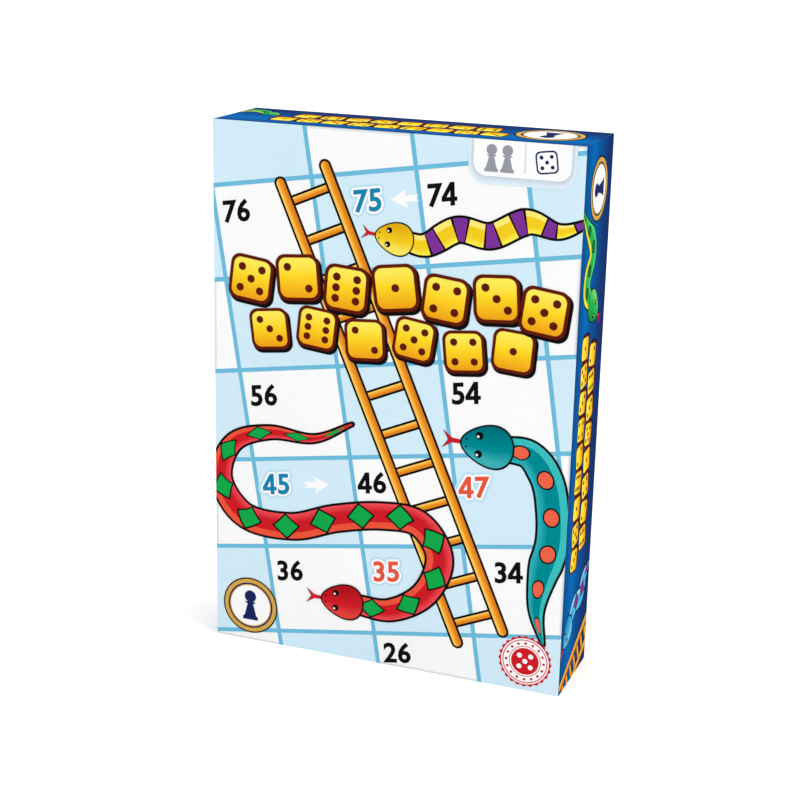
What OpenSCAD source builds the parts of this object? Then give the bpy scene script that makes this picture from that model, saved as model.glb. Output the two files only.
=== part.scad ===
// Boxed snakes and ladders game: a full-depth telescoping lid over a tray, with a card insert,
// a two-leaf folding game board, a rules sheet, four pawns and a die.
// The box stands on its short edge. X runs across the printed front, Y from front to back, Z up.
// The origin is the middle of the footprint.

/* [Box] */
// Width across the printed front
box_w = 184; // [170:1:220]
// Height when it stands on its short edge
box_h = 267; // [240:1:320]
// Depth from the printed front to the back
box_d = 48; // [44:1:60]

/* [Box stock] */
// Greyboard thickness of the lid and the tray
greyboard_t = 1.5; // [1.2:0.1:2]
// Thickness of the glued wrap paper
wrap_t = 0.2; // [0.15:0.05:0.3]
// Width of wrap paper turned in over each rim
turn_in = 16; // [10:1:20]
// Thickness of the paper tape that stays each corner
stay_t = 0.15; // [0.1:0.05:0.3]
// Width of each leg of the corner tape
stay_leg = 12; // [8:1:16]
// Clearance between the lid and the tray on each side
lid_gap = 0.6; // [0.4:0.1:1]
// Clearance between the tray rim and the inside of the lid front
rim_gap = 0.3; // [0.2:0.1:1]

/* [Card insert] */
// Thickness of the folded card
card_t = 0.6; // [0.4:0.1:1]
// Width of the well between the two decks
well_w = 62; // [50:1:80]
// Clearance between the insert and the tray walls
insert_gap = 0.4; // [0.2:0.1:0.8]
// Radius of the thumb notches in the deck edges
notch_r = 11; // [8:1:14]

/* [Game board] */
// Greyboard thickness of each leaf
core_t = 2; // [1.5:0.1:2.5]
// Thickness of the face print and of the back paper
sheet_t = 0.2; // [0.15:0.05:0.3]
// Thickness of the hinge cloth
cloth_t = 0.3; // [0.2:0.05:0.4]
// Width of hinge cloth glued to each leaf
cloth_wing = 14; // [10:1:20]
// Border of back paper showing round each face print
face_border = 3; // [2:0.5:5]
// Clearance between the two faces when the board is folded
face_gap = 0.2; // [0.1:0.05:0.4]
// Clearance between the hinge cloth and the spine edges
spine_gap = 0.2; // [0.15:0.05:0.3]
// Clearance between the folded board and the tray walls at its sides
board_side_gap = 2; // [1.5:0.5:3]
// Clearance above the folded board
board_top_gap = 4; // [2:0.5:6]
// Free depth between the folded board and the lid front
bay_slack = 5.8; // [5:0.1:8]

/* [Rules sheet] */
// Thickness of the rules sheet
rules_t = 0.2; // [0.15:0.05:0.4]
// Clearance between the rules sheet and the tray walls at its sides
rules_side_gap = 13; // [5:1:20]
// Clearance above the rules sheet
rules_top_gap = 48; // [20:1:80]

/* [Pawns] */
// Height of a pawn
pawn_h = 27; // [24:0.5:32]
// Diameter of a pawn's foot
pawn_foot_d = 14; // [12:0.5:17]
// Diameter of a pawn's head
pawn_head_d = 9.6; // [8:0.2:11]
// Diameter of the collar under the head
pawn_collar_d = 8.4; // [7:0.2:9.5]
// Diameter of the neck under the collar
pawn_neck_d = 5.2; // [4.6:0.2:6]
// Thickness of the foot's rim
pawn_foot_t = 2.6; // [2:0.2:3.4]
// Thickness of the collar
pawn_collar_t = 1.2; // [0.8:0.1:1.6]
// Moulded wall thickness
pawn_wall = 1.4; // [1.2:0.1:1.8]

/* [Die] */
// Edge length of the die
die_size = 16; // [12:1:19]
// Diameter of the ball that rounds the corners, as a share of the edge length
die_ball_share = 1.38; // [1.34:0.01:1.45]
// Diameter of a pip
pip_d = 2.8; // [2:0.1:3.2]
// Depth of a pip's dimple
pip_depth = 0.6; // [0.4:0.1:0.8]
// How far the paint lies below the die's face
pip_recess = 0.2; // [0.1:0.05:0.3]
// Distance from the centre of a face to its corner pips, along each edge
pip_pitch = 4.2; // [3.4:0.1:4.6]

/* [Layout in the well] */
// Space between neighbouring pieces
piece_spacing = 14; // [8:1:16]
// Space between the pieces and the floor of the well
piece_back_gap = 3; // [2:0.5:5]

/* [Hidden] */

// Overrun of every cut past the face that it opens
over = 1;
// Rest clearance between a loose piece and what it stands on
seat_gap = 0.2;
// Arc resolution of turned and round parts
round_fn = 64;
// Number of pawns in the row
PAWN_COUNT = 4;

// A panel is greyboard with wrap on one face, and a rim also has the turned-in wrap on the other
panel_t = wrap_t + greyboard_t;
rim_t = panel_t + wrap_t;

// Tray, inside the lid
tray_w = box_w - 2 * (rim_t + lid_gap);
tray_h = box_h - 2 * (rim_t + lid_gap);
tray_front_y = -box_d / 2 + panel_t + rim_gap;
tray_back_y = box_d / 2;
tray_d = tray_back_y - tray_front_y;
tray_floor_y = tray_back_y - panel_t;
tray_low_z = rim_t + lid_gap;

// Clear space inside the tray's turned-in rim
bay_w = tray_w - 2 * rim_t;
bay_low_z = tray_low_z + rim_t;
bay_high_z = box_h - bay_low_z;

// Folded board and rules sheet, stacked from the lid front back to the insert's deck
leaf_t = core_t + 2 * sheet_t;
board_t = 2 * (leaf_t + cloth_t) + face_gap;
board_front_y = -box_d / 2 + panel_t + bay_slack;
board_back_y = board_front_y + board_t;
rules_y = board_back_y + seat_gap;
deck_y = rules_y + rules_t + seat_gap;
leaf_low_z = bay_low_z + seat_gap;
leaf_h = bay_high_z - board_top_gap - leaf_low_z;
spine_x = -bay_w / 2 + board_side_gap + cloth_t + spine_gap;
leaf_w = bay_w / 2 - board_side_gap - spine_x;
right_leaf_y = board_back_y - cloth_t - leaf_t;
left_leaf_y = board_front_y + cloth_t;

// Insert
insert_w = bay_w - 2 * insert_gap;
insert_low_z = bay_low_z + insert_gap;
insert_high_z = bay_high_z - insert_gap;
well_low_z = (box_h - well_w) / 2;
well_high_z = (box_h + well_w) / 2;
well_floor_y = tray_floor_y - card_t;

// Row of pawns and the die along the lower ledge of the well
row_w = PAWN_COUNT * (pawn_foot_d + piece_spacing) + die_size;
pawn_pitch = pawn_foot_d + piece_spacing;
first_pawn_x = (pawn_foot_d - row_w) / 2;
die_x = (row_w - die_size) / 2;
pawn_y = well_floor_y - piece_back_gap - pawn_foot_d / 2;
die_y = well_floor_y - piece_back_gap - die_size / 2;
piece_z = well_low_z + seat_gap;

// Block centred on x = 0 with its low face at z and its front at y
module block(w, y0, y1, z0, z1) {
    translate([-w / 2, y0, z0]) cube([w, y1 - y0, z1 - z0]);
}

// Block inset from the outline of a w by h box that stands on z
module inset_block(w, h, z, inset, y0, y1) {
    block(w - 2 * inset, y0, y1, z + inset, z + h - inset);
}

// Corner tape: one L on each of the four corner joints of a w by h box between y0 and y1
module corner_stays(w, h, z, y0, y1) {
    for (sx = [-1, 1], top = [0, 1])
        translate([sx * (w / 2 - wrap_t), y0, top ? z + h - wrap_t : z + wrap_t])
            mirror([sx > 0 ? 1 : 0, 0, 0]) mirror([0, 0, top])
                difference() {
                    cube([stay_leg, y1 - y0, stay_leg]);
                    translate([stay_t, -over, stay_t])
                        cube([stay_leg, y1 - y0 + 2 * over, stay_leg]);
                }
}

// Greyboard of an open box whose closed face is at closed_y and whose rim is at rim_y
module greyboard(w, h, z, closed_y, rim_y) {
    dir = sign(rim_y - closed_y);
    y_in = closed_y + dir * wrap_t;
    y_rim = rim_y - dir * wrap_t;
    y_floor = closed_y + dir * panel_t;
    difference() {
        inset_block(w, h, z, wrap_t, min(y_in, y_rim), max(y_in, y_rim));
        inset_block(w, h, z, panel_t, min(y_floor, rim_y + dir * over), max(y_floor, rim_y + dir * over));
        corner_stays(w, h, z, min(y_floor, y_rim), max(y_floor, y_rim));
    }
}

// Wrap paper of the same box: outside, over the rim and turned in
module wrap(w, h, z, closed_y, rim_y) {
    dir = sign(rim_y - closed_y);
    y_in = closed_y + dir * wrap_t;
    y_rim = rim_y - dir * wrap_t;
    y_turn = rim_y - dir * turn_in;
    y_over = rim_y + dir * over;
    difference() {
        inset_block(w, h, z, 0, min(closed_y, rim_y), max(closed_y, rim_y));
        inset_block(w, h, z, wrap_t, min(y_in, y_rim), max(y_in, y_rim));
        inset_block(w, h, z, rim_t, min(y_turn, y_over), max(y_turn, y_over));
    }
    difference() {
        inset_block(w, h, z, panel_t, min(y_turn, y_rim), max(y_turn, y_rim));
        inset_block(w, h, z, rim_t, min(y_turn - over, y_rim - over), max(y_turn + over, y_rim + over));
    }
}

module lid_greyboard() {
    color("darkgray") greyboard(box_w, box_h, 0, -box_d / 2, box_d / 2);
}

module lid_wrap() {
    color("royalblue") wrap(box_w, box_h, 0, -box_d / 2, box_d / 2);
}

module lid_corner_stays() {
    color("burlywood") corner_stays(box_w, box_h, 0, -box_d / 2 + panel_t, box_d / 2 - wrap_t);
}

module tray_greyboard() {
    color("darkgray") greyboard(tray_w, tray_h, tray_low_z, tray_back_y, tray_front_y);
}

module tray_wrap() {
    color("navy") wrap(tray_w, tray_h, tray_low_z, tray_back_y, tray_front_y);
}

module tray_corner_stays() {
    color("burlywood") corner_stays(tray_w, tray_h, tray_low_z, tray_front_y + wrap_t, tray_floor_y);
}

// Section of the folded card, with depth along its first axis and height along its second
module insert_section() {
    rise = tray_floor_y - deck_y;
    for (top = [0, 1])
        translate([0, top * box_h]) mirror([0, top]) {
            translate([deck_y, insert_low_z]) square([rise, card_t]);
            translate([deck_y, insert_low_z]) square([card_t, well_low_z - insert_low_z]);
            translate([deck_y, well_low_z - card_t]) square([rise, card_t]);
        }
    translate([well_floor_y, well_low_z - card_t]) square([card_t, well_w + 2 * card_t]);
}

module insert_card() {
    color("white") difference() {
        rotate([90, 0, 90]) linear_extrude(insert_w, center = true) insert_section();
        // Each thumb notch is one round cut across the fold, half in the deck and half in the well's wall
        for (z = [well_low_z, well_high_z]) {
            translate([0, deck_y - over, z]) rotate([-90, 0, 0])
                cylinder(r = notch_r, h = card_t + over, $fn = round_fn);
            translate([0, deck_y, z - 2 * card_t])
                cylinder(r = notch_r, h = 4 * card_t, $fn = round_fn);
        }
    }
}

// One leaf with its spine edge on x = 0, its back on y = 0, its face towards +Y and its low edge on z = 0
module leaf_core() {
    translate([0, sheet_t, sheet_t]) cube([leaf_w - sheet_t, core_t, leaf_h - 2 * sheet_t]);
}

module leaf_paper() {
    difference() {
        cube([leaf_w, leaf_t, leaf_h]);
        translate([-over, sheet_t, sheet_t])
            cube([leaf_w - sheet_t + over, core_t, leaf_h - 2 * sheet_t]);
        leaf_face(over);
    }
}

module leaf_face(past = 0) {
    translate([-past, leaf_t - sheet_t, face_border])
        cube([leaf_w - face_border + past, sheet_t + past, leaf_h - 2 * face_border]);
}

module leaf_cloth() {
    translate([0, -cloth_t, 0]) cube([cloth_wing, cloth_t, leaf_h]);
}

// The left leaf lies in front with its face to the back, and the right leaf lies behind it face to face
module place_left() {
    translate([spine_x, left_leaf_y, leaf_low_z]) children();
}

module place_right() {
    translate([spine_x, right_leaf_y + leaf_t, leaf_low_z]) mirror([0, 1, 0]) children();
}

module right_leaf_core() {
    color("gray") place_right() leaf_core();
}

module right_leaf_paper() {
    color("midnightblue") place_right() leaf_paper();
}

module right_leaf_face() {
    color("lightcyan") place_right() leaf_face();
}

module right_leaf_cloth() {
    color("navy") place_right() leaf_cloth();
}

module left_leaf_core() {
    color("gray") place_left() leaf_core();
}

module left_leaf_paper() {
    color("midnightblue") place_left() leaf_paper();
}

module left_leaf_face() {
    color("lightcyan") place_left() leaf_face();
}

module left_leaf_cloth() {
    color("navy") place_left() leaf_cloth();
}

// Strip of hinge cloth that bridges the two leaves at the spine
module spine_cloth() {
    color("navy") translate([spine_x - spine_gap - cloth_t, board_front_y, leaf_low_z])
        cube([cloth_t, board_t, leaf_h]);
}

module rules_sheet() {
    color("white")
        block(bay_w - 2 * rules_side_gap, rules_y, rules_y + rules_t,
              leaf_low_z, bay_high_z - rules_top_gap);
}

// Turned pawn, hollow under its foot: a ball on a collar, a tapering body and a rimmed foot
module pawn_shape() {
    head_r = pawn_head_d / 2;
    neck_r = pawn_neck_d / 2;
    foot_r = pawn_foot_d / 2;
    waist_r = foot_r - pawn_wall;
    collar_z = pawn_h - pawn_head_d - pawn_collar_t / 2;
    hollow_top_r = neck_r - pawn_wall;
    hollow_z = collar_z - pawn_wall;
    translate([0, 0, pawn_h - head_r]) sphere(r = head_r, $fn = round_fn);
    difference() {
        rotate_extrude($fn = round_fn)
            polygon([[0, 0], [foot_r, 0], [foot_r, pawn_foot_t], [waist_r, pawn_foot_t + pawn_wall],
                     [neck_r, collar_z], [pawn_collar_d / 2, collar_z],
                     [pawn_collar_d / 2, collar_z + pawn_collar_t], [0, collar_z + pawn_collar_t]]);
        rotate_extrude($fn = round_fn)
            polygon([[0, -over], [waist_r, -over], [waist_r, 0], [waist_r - pawn_wall, pawn_foot_t],
                     [hollow_top_r, hollow_z], [0, hollow_z]]);
    }
}

module pawn(i) {
    translate([first_pawn_x + i * pawn_pitch, pawn_y, piece_z]) pawn_shape();
}

module pawn_red() {
    color("crimson") pawn(0);
}

module pawn_blue() {
    color("royalblue") pawn(1);
}

module pawn_green() {
    color("forestgreen") pawn(2);
}

module pawn_yellow() {
    color("gold") pawn(3);
}

// Places of the pips on a face with n of them, in pitches
function pips(n) = concat(
    n % 2 == 1 ? [[0, 0]] : [],
    n > 1 ? [[-1, -1], [1, 1]] : [],
    n > 3 ? [[-1, 1], [1, -1]] : [],
    n > 5 ? [[-1, 0], [1, 0]] : []);

// Turns that bring the top face to each side, with opposite faces adding up to seven
FACE_TURNS = [[1, [0, 0, 0]], [6, [180, 0, 0]], [2, [90, 0, 0]],
              [5, [-90, 0, 0]], [3, [0, 90, 0]], [4, [0, -90, 0]]];

// Runs its children at each pip's place, with the face's outward normal along +Z
module at_pips() {
    for (face = FACE_TURNS, p = pips(face[0]))
        rotate(face[1]) translate([p[0] * pip_pitch, p[1] * pip_pitch, die_size / 2]) children();
}

// Ball whose cap of the pip's diameter reaches the dimple's depth
module pip_ball() {
    ball_r = (pip_d * pip_d / 4 + pip_depth * pip_depth) / (2 * pip_depth);
    translate([0, 0, ball_r - pip_depth]) sphere(r = ball_r, $fn = round_fn);
}

module place_die() {
    translate([die_x, die_y, piece_z + die_size / 2]) children();
}

module die() {
    color("white") place_die() difference() {
        intersection() {
            cube(die_size, center = true);
            sphere(d = die_size * die_ball_share, $fn = round_fn);
        }
        at_pips() pip_ball();
    }
}

module die_pips() {
    color("black") place_die() at_pips() intersection() {
        pip_ball();
        translate([0, 0, -pip_recess - pip_depth]) cylinder(d = pip_d, h = pip_depth, $fn = round_fn);
    }
}

lid_greyboard();
lid_wrap();
lid_corner_stays();
tray_greyboard();
tray_wrap();
tray_corner_stays();
insert_card();
right_leaf_core();
right_leaf_paper();
right_leaf_face();
right_leaf_cloth();
spine_cloth();
left_leaf_core();
left_leaf_paper();
left_leaf_face();
left_leaf_cloth();
rules_sheet();
pawn_red();
pawn_blue();
pawn_green();
pawn_yellow();
die();
die_pips();
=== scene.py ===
import functools
import math

import bpy
from mathutils import Matrix, Vector


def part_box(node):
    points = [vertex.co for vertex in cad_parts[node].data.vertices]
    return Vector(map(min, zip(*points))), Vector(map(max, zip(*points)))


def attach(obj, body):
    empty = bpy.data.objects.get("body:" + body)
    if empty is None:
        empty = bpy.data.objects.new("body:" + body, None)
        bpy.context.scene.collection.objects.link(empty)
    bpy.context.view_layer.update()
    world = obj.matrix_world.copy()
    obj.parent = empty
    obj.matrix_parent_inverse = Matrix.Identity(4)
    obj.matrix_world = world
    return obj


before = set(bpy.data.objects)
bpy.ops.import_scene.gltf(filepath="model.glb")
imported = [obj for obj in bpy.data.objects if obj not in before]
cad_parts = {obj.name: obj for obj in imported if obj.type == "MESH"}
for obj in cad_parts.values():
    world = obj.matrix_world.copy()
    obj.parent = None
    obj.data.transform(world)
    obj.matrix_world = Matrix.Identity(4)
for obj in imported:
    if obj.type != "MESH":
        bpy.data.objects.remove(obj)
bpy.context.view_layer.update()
MM = 0.001


def span(node):
    """Limits of a solid along x, y and z at rest, in millimetres."""
    low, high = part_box(node)
    return [(round(a / MM, 2), round(b / MM, 2)) for a, b in zip(low, high)]


def extent(limits):
    return round(limits[1] - limits[0], 2)


def centre(limits):
    return round((limits[0] + limits[1]) / 2, 2)


# Sizes and places of the solids that carry print, in millimetres
(LEFT_X, RIGHT_X), (FRONT_Y, BACK_Y), BOX_Z = span("lid_wrap")
BOX_W, BOX_D, BOX_H = extent((LEFT_X, RIGHT_X)), extent((FRONT_Y, BACK_Y)), extent(BOX_Z)
TRAY_X, _, TRAY_Z = span("tray_wrap")
FACE_X, (RIGHT_FACE_Y, _), FACE_Z = span("right_leaf_face")
_, (_, LEFT_FACE_Y), _ = span("left_leaf_face")
(_, SPINE_X), SPINE_Y, _ = span("spine_cloth")
RULES_X, (RULES_Y, _), RULES_Z = span("rules_sheet")

# Between the faces of the open board lie the spine cloth and two creases
BOARD_GAP = round(extent(SPINE_Y) + 2 * (FACE_X[0] - SPINE_X), 2)
BOARD_HALF = BOARD_GAP / 2 + extent(FACE_X)

# Ink colours, as display values from 0 to 255
WHITE = (252, 252, 252)
BLACK = (18, 16, 18)
RED = (206, 30, 40)
GREEN = (20, 168, 74)
PURPLE = (124, 52, 150)

GROUND_INKS = {"ground_white": WHITE, "pale_blue": (212, 237, 250)}
FLAT_INKS = {
    "white": WHITE, "line_blue": (110, 188, 220), "blue": (22, 132, 178), "accent_red": (230, 88, 62),
    "black": BLACK, "maroon": (96, 28, 14), "red": RED, "grey": (150, 154, 160), "navy": (28, 40, 92),
    "gold": (214, 168, 76), "yellow": (255, 222, 48), "green": GREEN, "royal": (0, 104, 184),
    "glow_1": (182, 222, 243), "glow_2": (200, 231, 247), "shade_1": (224, 239, 249),
    "shade_2": (217, 231, 242), "shade_3": (208, 222, 233), "shade_4": (198, 211, 223),
}
# Light, middle and dark colour. A snake's are its head's, and the middle one its body's too
SHADES = {
    "orange_shaded": ((255, 204, 92), (242, 156, 44), (214, 118, 22)),
    "yellow_shaded": ((255, 236, 90), (255, 216, 40), (240, 160, 24)),
    "teal_snake": ((60, 176, 182), (0, 138, 146), (0, 112, 120)),
    "red_snake": ((226, 66, 60), RED, (176, 20, 30)),
    "yellow_snake": ((255, 232, 100), (246, 206, 34), (226, 172, 20)),
    "green_snake": ((110, 206, 100), (40, 176, 82), (24, 140, 60)),
    "blue_snake": ((130, 204, 232), (60, 170, 214), (34, 134, 184)),
}
# Colours of belly and marks, the kind of mark, and the marks' period in millimetres
SKINS = {
    "teal_snake": ((60, 190, 190), (238, 100, 72), "spots", 19),
    "red_snake": ((236, 84, 60), GREEN, "saddles", 21),
    "yellow_snake": ((255, 236, 120), PURPLE, "rings", 15),
    "green_snake": ((226, 220, 60), (20, 110, 50), "spots", 12),
    "blue_snake": ((150, 214, 236), PURPLE, "saddles", 12),
}


def linear(colour):
    """Scene-linear RGBA of a display colour. A node's output stays as it is."""
    def channel(c):
        c = c / 255
        return c / 12.92 if c <= 0.04045 else ((c + 0.055) / 1.055) ** 2.4
    if isinstance(colour, bpy.types.NodeSocket):
        return colour
    return (*[channel(c) for c in colour], 1)


# Shader helpers. The numbers are the Mix node's sockets: factor and both colours, and the result
MIX_INPUTS, MIX_OUTPUT = (0, 6, 7), 2


class Nodes:
    """Short calls for the nodes of a tree."""

    def __init__(self, tree):
        self.tree = tree

    def node(self, kind, inputs=None, **props):
        made = self.tree.nodes.new("ShaderNode" + kind)
        for key, value in props.items():
            setattr(made, key, value)
        for key, value in (inputs or {}).items():
            self.put(made.inputs[key], value)
        return made

    def put(self, socket, value):
        if isinstance(value, bpy.types.NodeSocket):
            self.tree.links.new(value, socket)
        else:
            socket.default_value = value

    def math(self, operation, *values):
        return self.node("Math", dict(enumerate(values)), operation=operation).outputs[0]

    def plus(self, a, b):
        return self.math("ADD", a, b)

    def minus(self, a, b):
        return self.math("SUBTRACT", a, b)

    def times(self, a, b):
        return self.math("MULTIPLY", a, b)

    def mix(self, factor, a, b, blend="MIX"):
        inputs = dict(zip(MIX_INPUTS, (factor, linear(a), linear(b))))
        return self.node("Mix", inputs, data_type="RGBA", blend_type=blend).outputs[MIX_OUTPUT]

    def ramp(self, value, stops):
        made = self.node("ValToRGB", {0: value})
        elements = made.color_ramp.elements
        while len(elements) < len(stops):
            elements.new(1.0)
        for element, (place, colour) in zip(elements, stops):
            element.position = place
            element.color = linear(colour)
        return made.outputs[0]

    def uneven(self, value, least, spread):
        """Least where the value is 0, and more by spread where it is 1."""
        return self.plus(least, self.times(value, spread))

    def step(self, value, low, high):
        """0 below low, 1 above high, and even between them."""
        inputs = {"Value": value, "From Min": low, "From Max": high}
        return self.node("MapRange", inputs, clamp=True).outputs[0]

    def place(self):
        """Object coordinates, in metres."""
        return self.node("TexCoord").outputs["Object"]

    def axes(self, vector):
        return self.node("SeparateXYZ", {0: vector}).outputs

    def noise(self, scale, rough, detail=3, stretch=None):
        """Noise with so many cells to a metre."""
        vector = self.place()
        if stretch:
            vector = self.node("Mapping", {"Vector": vector, "Scale": stretch}).outputs[0]
        inputs = {"Vector": vector, "Scale": scale, "Detail": detail, "Roughness": rough}
        return self.node("TexNoise", inputs).outputs["Fac"]

    def bump(self, height, strength, distance, normal=None):
        made = self.node("Bump", {"Height": height, "Strength": strength, "Distance": distance})
        if normal:
            self.put(made.inputs["Normal"], normal)
        return made.outputs[0]

    def rounded(self, radius):
        """The normal of edges that look rounded."""
        return self.node("Bevel", {"Radius": radius}, samples=6).outputs[0]


class Shader(Nodes):
    """A new node material."""

    SOCKETS = {"colour": "Base Color", "rough": "Roughness", "normal": "Normal", "sheen": "Sheen Weight",
               "specular": "Specular IOR Level", "subsurface": "Subsurface Weight",
               "glow_colour": "Emission Color", "glow": "Emission Strength"}

    def __init__(self, name):
        self.material = bpy.data.materials.new(name)
        self.material.use_nodes = True
        super().__init__(self.material.node_tree)

    def set(self, **values):
        """Sets sockets of the surface and returns the material."""
        sockets = self.tree.nodes["Principled BSDF"].inputs
        for key, value in values.items():
            self.put(sockets[self.SOCKETS[key]], linear(value) if "colour" in key else value)
        return self.material


# Inks
INK_ROUGH, PRINT_SPECULAR = 0.57, 0.002
INKS = {}


def mottled(s, colour):
    """A colour with the faint mottle and cloud of ink on paper."""
    lightest, mottle_depth, cloud_depth = 1.02, 0.03, 0.025
    mottle = s.step(s.noise(900, detail=4, rough=0.6), 0.25, 0.75)
    cloud = s.step(s.noise(25, rough=0.5), 0.3, 0.7)
    shade = s.minus(lightest, s.plus(s.times(mottle, mottle_depth), s.times(cloud, cloud_depth)))
    grey = s.node("CombineColor", {0: shade, 1: shade, 2: shade}).outputs[0]
    return s.mix(1.0, colour, grey, "MULTIPLY")


def coated(s, colour, edge_radius=0):
    """Finishes a shader as printed coated paper with a soft wave and fine fibres."""
    normal = s.rounded(edge_radius) if edge_radius else None
    normal = s.bump(s.noise(30, detail=2, rough=0.4), strength=0.12, distance=0.6 * MM, normal=normal)
    normal = s.bump(s.noise(1600, detail=5, rough=0.7), strength=0.1, distance=0.04 * MM, normal=normal)
    rough = s.uneven(s.noise(120, rough=0.6), least=0.5, spread=0.14)
    return s.set(colour=mottled(s, colour), rough=rough, normal=normal, specular=PRINT_SPECULAR)


def inked(s, colour):
    return s.set(colour=colour, rough=INK_ROUGH, specular=PRINT_SPECULAR)


def strip_axes(s):
    """Millimetres along the printed shape, and from -1 to 1 across it."""
    return s.axes(s.node("Attribute", attribute_name="strip").outputs["Vector"])


def shaded_ink(s, light, mid, dark):
    """Ink that runs from light to dark across the printed shape."""
    _, across, _ = strip_axes(s)
    low = s.mix(s.step(across, -1, 0.1), dark, mid)
    return inked(s, mottled(s, s.mix(s.step(across, 0.1, 0.8), low, light)))


# Reach of a mark and width of its dark rim, in the field of its kind
MARK_REACH = {"rings": (0.17, 0.055), "spots": (0.52, 0.11), "saddles": (0.49, 0.1)}


def mark_field(s, kind, from_middle, across):
    """Grows from 0 in the middle of each mark of a snake."""
    if kind == "rings":
        return from_middle
    if kind == "spots":
        spot_length, spot_width, off_middle = 2.4, 1.1, 0.1
        return s.math("SQRT", s.plus(s.math("POWER", s.times(from_middle, spot_length), 2),
                                     s.math("POWER", s.times(s.minus(across, off_middle), spot_width), 2)))
    saddle_length, saddle_width = 1.6, 0.55
    return s.plus(s.times(from_middle, saddle_length), s.times(s.math("ABSOLUTE", across), saddle_width))


def snake_ink(s, body, belly, mark, kind, period):
    """Snake skin of body and belly colours, with marks at a steady period along it."""
    belly_edge, lighter = -0.5, 60
    along, across, _ = strip_axes(s)
    cycle = s.math("FRACT", s.math("DIVIDE", along, period))
    from_middle = s.math("ABSOLUTE", s.minus(cycle, 0.5))
    field = mark_field(s, kind, from_middle, across)
    edge, rim = MARK_REACH[kind]
    skin = s.mix(s.math("LESS_THAN", across, belly_edge), body, belly)
    skin = s.mix(s.step(across, 0.35, 1.3), skin, [min(255, c + lighter) for c in body])
    skin = s.mix(s.math("LESS_THAN", field, edge + rim), skin, BLACK)
    return inked(s, mottled(s, s.mix(s.math("LESS_THAN", field, edge), skin, mark)))


def make_inks():
    def new(name):
        return Shader("ink_" + name)

    for name, colour in GROUND_INKS.items():
        INKS[name] = coated(new(name), colour)
    for name, colour in FLAT_INKS.items():
        INKS[name] = inked(new(name), colour)
    for name, shades in SHADES.items():
        key = name + "_head" if name in SKINS else name
        INKS[key] = shaded_ink(new(key), *shades)
    for name, skin in SKINS.items():
        INKS[name] = snake_ink(new(name), SHADES[name][1], *skin)


# Printed pages, drawn in millimetres
PRINT_MAP = "OFBake"
POINT_VALUES, DECIMALS, LEAST_AREA = 5, 5, 1e-4


def clipped(points, limits):
    """Points of a polygon, with what rides with them, cut to a rectangle."""
    low_x, high_x, low_y, high_y = limits
    for axis, limit, sign in ((0, low_x, 1), (0, high_x, -1), (1, low_y, 1), (1, high_y, -1)):
        kept = []
        for a, b in zip(points, points[1:] + points[:1]):
            inside_a, inside_b = (a[axis] - limit) * sign, (b[axis] - limit) * sign
            if inside_a >= 0:
                kept.append(a)
            if inside_a * inside_b < 0:
                t = inside_a / (inside_a - inside_b)
                kept.append(tuple(p + (q - p) * t for p, q in zip(a, b)))
        points = kept
    return points


def put_in_scene(name, data):
    holder = bpy.data.objects.new(name, data)
    bpy.context.scene.collection.objects.link(holder)
    return holder


class Page:
    """A flat printed surface with x to the right and y up. Each ink on it becomes one mesh."""

    def __init__(self, name, body, slot, origin, right, up, limits, lift):
        self.name, self.body, self.slot = name, body, slot
        self.origin, self.right, self.up = Vector(origin), right, up
        self.out = right.cross(up)
        self.limits, self.lift = limits, lift
        self.meshes = {}

    def fill(self, ink, points, layer, rise=0.0):
        """Adds a polygon. A point is x and y, and if given along, across and its own rise."""
        points = clipped([(*p, *(0.0,) * (POINT_VALUES - len(p))) for p in points], self.limits)
        area = sum(a[0] * b[1] - b[0] * a[1] for a, b in zip(points, points[1:] + points[:1]))
        if abs(area) < LEAST_AREA:
            return
        if area < 0:
            points = points[::-1]
        corners, faces = self.meshes.setdefault(ink, ({}, []))
        face = []
        for x, y, along, across, own_rise in points:
            height = layer * self.lift + own_rise + rise
            corner = tuple(round(v, DECIMALS) for v in (x, y, height, along, across))
            face.append(corners.setdefault(corner, len(corners)))
        faces.append([a for a, b in zip(face, face[1:] + face[:1]) if a != b])

    def build(self):
        """Makes a mesh of each ink, which keeps where along and across its shape a corner lies."""
        for ink, (corners, faces) in self.meshes.items():
            mesh = bpy.data.meshes.new(self.name + "_" + ink)
            verts = [(self.origin + self.right * x + self.up * y + self.out * height) * MM
                     for x, y, height, _, _ in corners]
            mesh.from_pydata(verts, [], faces)
            strip = mesh.attributes.new("strip", "FLOAT_VECTOR", "POINT")
            strip.data.foreach_set("vector", [c for *_, along, across in corners for c in (along, across, 0)])
            self.lay_map(mesh, corners)
            mesh.materials.append(INKS[ink])
            piece = put_in_scene(mesh.name, mesh)
            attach(piece, self.body)

    def lay_map(self, mesh, corners):
        """Maps the drawing flat over the whole square."""
        xs, ys = zip(*(corner[:2] for corner in corners))
        low_x, low_y = min(xs), min(ys)
        wide, tall = max(xs) - low_x, max(ys) - low_y
        spots = [((x - low_x) / wide, (y - low_y) / tall) for x, y in zip(xs, ys)]
        flat = mesh.uv_layers.new(name=PRINT_MAP)
        flat.uv.foreach_set("vector", [c for loop in mesh.loops for c in spots[loop.vertex_index]])


# Drawing
def turned(points, place, angle=0.0, scale=1.0):
    """Points scaled and turned about 0 and moved to a place, with what rides with them."""
    c, s = math.cos(angle) * scale, math.sin(angle) * scale
    return [(place[0] + c * p[0] - s * p[1], place[1] + s * p[0] + c * p[1], *p[2:]) for p in points]


def shifted(place, right, up):
    return (place[0] + right, place[1] + up)


def polar(place, reach, angle):
    return shifted(place, reach * math.cos(angle), reach * math.sin(angle))


def angles(count):
    return [2 * math.pi * i / count for i in range(count)]


def disc(r, corners):
    return [(r * math.cos(a), r * math.sin(a), r * math.cos(a), math.sin(a)) for a in angles(corners)]


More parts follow.
